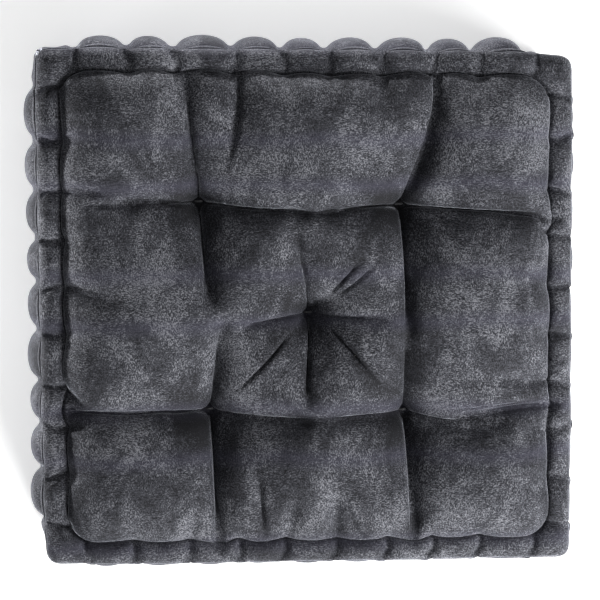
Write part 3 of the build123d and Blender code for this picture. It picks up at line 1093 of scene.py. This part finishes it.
def bumped(tree, shader, height, distance, strength, under=None):
    """Bump from a height, on top of another bump if there is one. Gives its normal."""
    node = tree.nodes.new("ShaderNodeBump")
    node.inputs["Distance"].default_value = distance
    node.inputs["Strength"].default_value = strength
    tree.links.new(height, node.inputs["Height"])
    if under is not None:
        tree.links.new(under, node.inputs["Normal"])
    tree.links.new(node.outputs["Normal"], shader.inputs["Normal"])
    return node.outputs["Normal"]


def chenille():
    """Charcoal crushed chenille: fine weft and warp streaks, specks of pile, slubs, crushed patches, and
    painted shade round the tufts and along the creases, read from a mesh attribute.
    """
    material, tree, shader, place = new_material("charcoal_chenille")
    weft = noise(tree, stretched(tree, place, (420, 1250, 900)), 1.0, 1.0, 0.5)
    warp = noise(tree, stretched(tree, place, (1250, 480, 700)), 1.0, 1.0, 0.5)
    which = ranged(tree, noise(tree, place, 32, 3.0, 0.6), 0.42, 0.58, 0, 1)
    speck = noise(tree, place, 980, 2.0, 0.6)
    streak = blended(tree, which, weft, warp)
    pile = math_of(tree, "MULTIPLY", math_of(tree, "ADD", streak, speck), 0.5)
    slub = noise(tree, stretched(tree, place, (55, 850, 400)), 1.0, 2.0, 0.5)
    slub = ranged(tree, slub, 0.58, 0.68, 0, -0.22)
    crushed = noise(tree, stretched(tree, place, (27, 16, 20)), 1.0, 8.0, 0.68, 0.6)
    frayed = math_of(tree, "ADD", crushed, math_of(tree, "MULTIPLY", streak, 0.22))
    crushed = ranged(tree, frayed, 0.50, 0.74, 0.24, 0.66)
    torn = noise(tree, stretched(tree, place, (40, 70, 50)), 1.0, 10.0, 0.78, 0.3)
    crushed = math_of(tree, "ADD", crushed, ranged(tree, torn, 0.50, 0.58, -0.04, 0.10))
    rough = math_of(tree, "MULTIPLY", ranged(tree, pile, 0.40, 0.60, -0.42, 0.42),
                    ranged(tree, frayed, 0.50, 0.74, 0.60, 1.25))
    shade = math_of(tree, "ADD", rough, crushed)
    shade = math_of(tree, "ADD", shade, slub)
    # Painted shade: the colour is darkened round the tufts, along the creases and on the left of each
    # tuft, by a value stored on the top panel's points, with frayed edges.
    nap = tree.nodes.new("ShaderNodeAttribute")
    nap.attribute_name = "nap"
    edge = ranged(tree, torn, 0.35, 0.65, -0.25, 0.25)
    painted_darkening = math_of(tree, "MULTIPLY", nap.outputs["Fac"], math_of(tree, "ADD", edge, 1.0))
    shade = math_of(tree, "SUBTRACT", shade, math_of(tree, "MULTIPLY", painted_darkening, 0.42))
    colour = ramp(tree, shade, CHARCOAL)
    colour = tinted(tree, shot_bands(tree, place), colour, VIOLET)
    tree.links.new(colour, shader.inputs["Base Color"])
    tree.links.new(ranged(tree, pile, 0.3, 0.7, 0.95, 0.7), shader.inputs["Roughness"])
    shader.inputs["Sheen Weight"].default_value = 0.8
    shader.inputs["Sheen Roughness"].default_value = 0.25
    shader.inputs["Sheen Tint"].default_value = (0.72, 0.75, 0.84, 1)
    shader.inputs["Specular IOR Level"].default_value = 0.25
    rumple = noise(tree, place, 70, 4.0, 0.6)
    wide = bumped(tree, shader, rumple, 0.0022, 0.5)
    bumped(tree, shader, pile, 0.0009, 0.8, wide)
    return material


def shot_bands(tree, place):
    """Faint violet bands across the cloth, in pairs, as its weft was dyed: a share from 0 up."""
    split = tree.nodes.new("ShaderNodeSeparateXYZ")
    tree.links.new(place, split.inputs["Vector"])
    wander = ranged(tree, noise(tree, place, 9, 2.0), 0.3, 0.7, -0.004, 0.004)
    along = math_of(tree, "ADD", split.outputs["Y"], wander)
    pair = math_of(tree, "PINGPONG", math_of(tree, "SUBTRACT", along, 0.008), 0.0625)
    off = math_of(tree, "ABSOLUTE", math_of(tree, "SUBTRACT", pair, 0.0215), 0)
    return ranged(tree, off, 0.0, 0.011, 0.30, 0.0)


def fibre():
    """Off-white polyester fibre, matted into soft tangles."""
    material, tree, shader, place = new_material("fibre_fill")
    tangle = noise(tree, stretched(tree, place, (180, 240, 210)), 1.0, 6.0, 0.7, 1.5)
    colour = ramp(tree, tangle, [(0.25, (0.62, 0.61, 0.57)), (0.75, (0.86, 0.85, 0.81))])
    tree.links.new(colour, shader.inputs["Base Color"])
    shader.inputs["Roughness"].default_value = 0.95
    shader.inputs["Sheen Weight"].default_value = 0.3
    bumped(tree, shader, tangle, 0.002, 0.8)
    return material


def yarn(name, dark, light, size):
    """A spun thread or twine, with the strands' light and dark."""
    material, tree, shader, place = new_material(name)
    hair = noise(tree, place, size, 4.0, 0.7)
    colour = ramp(tree, hair, [(0.3, dark), (0.7, light)])
    tree.links.new(colour, shader.inputs["Base Color"])
    tree.links.new(ranged(tree, hair, 0.3, 0.7, 0.75, 0.5), shader.inputs["Roughness"])
    shader.inputs["Sheen Weight"].default_value = 0.2
    bumped(tree, shader, hair, 0.0002, 0.7)
    return material


def floor_material():
    """Pale and plain, with a little light of its own, so that it comes out nearly white."""
    material, tree, shader, place = new_material("pale_floor")
    stops = [(0.3, (0.86, 0.86, 0.86)), (0.7, (0.88, 0.88, 0.88))]
    colour = ramp(tree, noise(tree, place, 3, 2.0), stops)
    tree.links.new(colour, shader.inputs["Base Color"])
    shader.inputs["Roughness"].default_value = 0.9
    shader.inputs["Emission Color"].default_value = (1, 1, 1, 1)
    shader.inputs["Emission Strength"].default_value = 0.48
    return material


# ---------------------------------------------------------------- the cushion

def painted_shade_at(places):
    """Painted shade at each place of the top panel: darker round the tufts and along the creases,
    and a painted side shade that is darker on the left of each tuft than on the right."""
    x = places[:, 0]
    y = places[:, 1]
    painted_darkening = np.zeros(len(places))
    painted_side_shade = np.zeros(len(places))
    for tuft_x, tuft_y in TUFTS.values():
        apart = np.hypot(x - tuft_x, y - tuft_y)
        dark, reach = PAINTED_SHADE_AT_TUFT
        painted_darkening = np.maximum(painted_darkening, dark * np.exp(-(apart / reach) ** 1.2))
        side = PAINTED_SIDE_SHADE_WAY[0] * (x - tuft_x) + PAINTED_SIDE_SHADE_WAY[1] * (y - tuft_y)
        side /= np.maximum(apart, 1e-6)
        dark, middle, reach = PAINTED_SIDE_SHADE
        painted_side_shade -= dark * side * np.exp(-((apart - middle) / reach) ** 2)
    for _, depth, way in drawn_creases():
        apart = near_line(x, y, way)[0]
        dark, reach = PAINTED_SHADE_AT_CREASE
        painted_darkening = np.maximum(painted_darkening, dark * depth * np.exp(-(apart / reach) ** 1.3))
    return painted_darkening + painted_side_shade


def make_cover(net, points, outward, cloth):
    """The two panels and the four gussets, each a sheet of cloth with its edges in the seams."""
    seams = seam_points(net)
    sunk = points.copy()
    opening = unit(outward[seams] + np.outer(np.sign(outward[seams, 2]), [0, 0, 0.9]))
    sunk[seams] -= opening * SEAM_DEPTH
    flat = filled_form(net)[1]
    for name, patch in net.patches().items():
        shell_points, faces = cloth_shell(points[patch], sunk[patch])
        piece = make_piece("visual_" + name, shell_points, faces.tolist(), cloth, name, "chenille_cover")
        # The top panel's points carry painted shade: darker round the tufts, along the creases and on the
        # left of each tuft.
        if name == "top_panel":
            nap = piece.data.attributes.new("nap", "FLOAT", "POINT")
            nap.data.foreach_set("value", painted_shade_at(shell_points).astype(np.float32))
    return sunk


def corner_columns(net):
    """The band's columns that are the corner seams."""
    return [0, net.across, net.across + net.along, 2 * net.across + net.along]


def seam_points(net):
    """Every point of the net that lies in a seam."""
    corners = [net.band[:, column] for column in corner_columns(net)]
    return np.unique(np.concatenate([net.band[0], net.band[-1]] + corners))


def make_fill(net, points, outward, material):
    """The fibre, just inside the cover and clear of its seams, with fewer rows down the sides."""
    depth = np.full((net.count, 1), FILL_DEPTH)
    depth[seam_points(net)] = FILL_AT_SEAM
    inside = points - outward * depth
    rows = [*range(0, net.down, 3), net.down]
    faces = []
    for name, patch in net.patches().items():
        faces.append(patch_quads(patch[rows] if name.startswith("gusset") else patch))
    used, faces = np.unique(np.concatenate(faces), return_inverse=True)
    faces = faces.reshape(-1, 4).tolist()
    piece = make_piece("visual_fill_core", inside[used], faces, material, "fill_core", "fibre_fill")


def make_threads(net, sunk, thread):
    """The roll stitches and the seam threads."""
    for level in ("top", "bottom"):
        for side in SIDES:
            name = level + "_roll_stitches_" + side
            loops = [stitch_loop(stitch, level) for stitch in STITCHES if stitch["side"] == side]
            make_piece("visual_" + name, *joined(loops), thread, name, "sewing_thread")
    for name, row in (("top_seam_thread", 0), ("bottom_seam_thread", -1)):
        path = smooth_path(sunk[net.band[row]], 4, True)
        tube = sweep(path, SEAM_THREAD_RADIUS, 6, True, beads=THREAD_BEAD)
        make_piece("visual_" + name, *tube, thread, name, "sewing_thread")
    lines = []
    for column in corner_columns(net):
        path = smooth_path(sunk[net.band[2:-2, column]], 4, False)
        lines.append(sweep(path, SEAM_THREAD_RADIUS, 6, False, beads=THREAD_BEAD))
    name = "corner_seam_threads"
    make_piece("visual_" + name, *joined(lines), thread, name, "sewing_thread")


def make_tufts(twine):
    """Each tuft's cord and its knot below."""
    for tuft, place in TUFTS.items():
        cord = "tuft_cord_" + tuft
        make_piece("visual_" + cord, *tuft_loop(place), twine, cord, "tuft_twine")
        knot = "tuft_knot_" + tuft
        make_piece("visual_" + knot, *joined(knot_parts(tuft)), twine, knot, "tuft_twine")


# ---------------------------------------------------------------- floor, light and camera

def make_floor():
    """A plain square floor under the cushion."""
    mesh = bpy.data.meshes.new("floor")
    half = 6.0
    corners = [(-half, -half, 0), (half, -half, 0), (half, half, 0), (-half, half, 0)]
    mesh.from_pydata(corners, [], [(0, 1, 2, 3)])
    mesh.materials.append(floor_material())
    floor = bpy.data.objects.new("floor", mesh)
    bpy.context.scene.collection.objects.link(floor)


def make_light(name, place, size, power, aim=(0, 0, 0.06)):
    """A square soft box that shines at the cushion, and that the camera doesn't see."""
    lamp = bpy.data.lights.new(name, "AREA")
    lamp.size = size
    lamp.energy = power
    light = bpy.data.objects.new(name, lamp)
    bpy.context.scene.collection.objects.link(light)
    light.location = place
    light.visible_camera = False
    light.rotation_euler = (Vector(aim) - Vector(place)).to_track_quat("-Z", "Y").to_euler()


def make_world(strength):
    """Even white light from all round."""
    world = bpy.data.worlds.new("studio")
    world.use_nodes = True
    world.node_tree.nodes["Background"].inputs["Color"].default_value = (1, 1, 1, 1)
    world.node_tree.nodes["Background"].inputs["Strength"].default_value = strength
    bpy.context.scene.world = world


def make_camera(place, aim, field):
    """A camera over the cushion with +Y up in its picture; field is how wide it sees at the aim."""
    data = bpy.data.cameras.new("camera")
    camera = bpy.data.objects.new("camera", data)
    bpy.context.scene.collection.objects.link(camera)
    back = (Vector(place) - Vector(aim)).normalized()
    right = Vector((0, 1, 0)).cross(back).normalized()
    up = back.cross(right)
    turned = Matrix((right, up, back)).transposed().to_4x4()
    camera.matrix_world = Matrix.Translation(place) @ turned
    data.sensor_width = 36
    data.lens = 36 * (Vector(place) - Vector(aim)).length / field
    bpy.context.scene.camera = camera


def build():
    """The cushion, its floor, its lights and its camera."""
    net, points = settled_cover()
    outward = unit(outward_areas(points, net.quads(), net.count))
    sunk = make_cover(net, points, outward, chenille())
    make_fill(net, points, outward, fibre())
    make_threads(net, sunk, yarn("dark_thread", (0.012, 0.012, 0.015), (0.045, 0.045, 0.052), 4000))
    make_tufts(yarn("dark_twine", (0.02, 0.02, 0.022), (0.09, 0.09, 0.10), 2500))
    make_floor()
    make_light("front", (1.2, -2.95, 1.35), 1.0, 190)
    make_light("right", (0.82, -0.2, 0.68), 0.4, 9.5)
    make_light("top", (0.3, -0.3, 3.0), 2.2, 12)
    make_light("left_rim", (-0.68, 0.04, 0.022), 0.04, 4.6, (0, 0.04, 0.05))
    make_light("back_rim", (-0.04, 0.68, 0.022), 0.04, 3.7, (-0.04, 0, 0.05))
    make_world(0.20)
    make_camera((-0.272, 0.27, 2.33), (-0.006, 0.005, 0.107), 0.5510)
    bpy.context.scene.view_settings.view_transform = "Standard"


build()
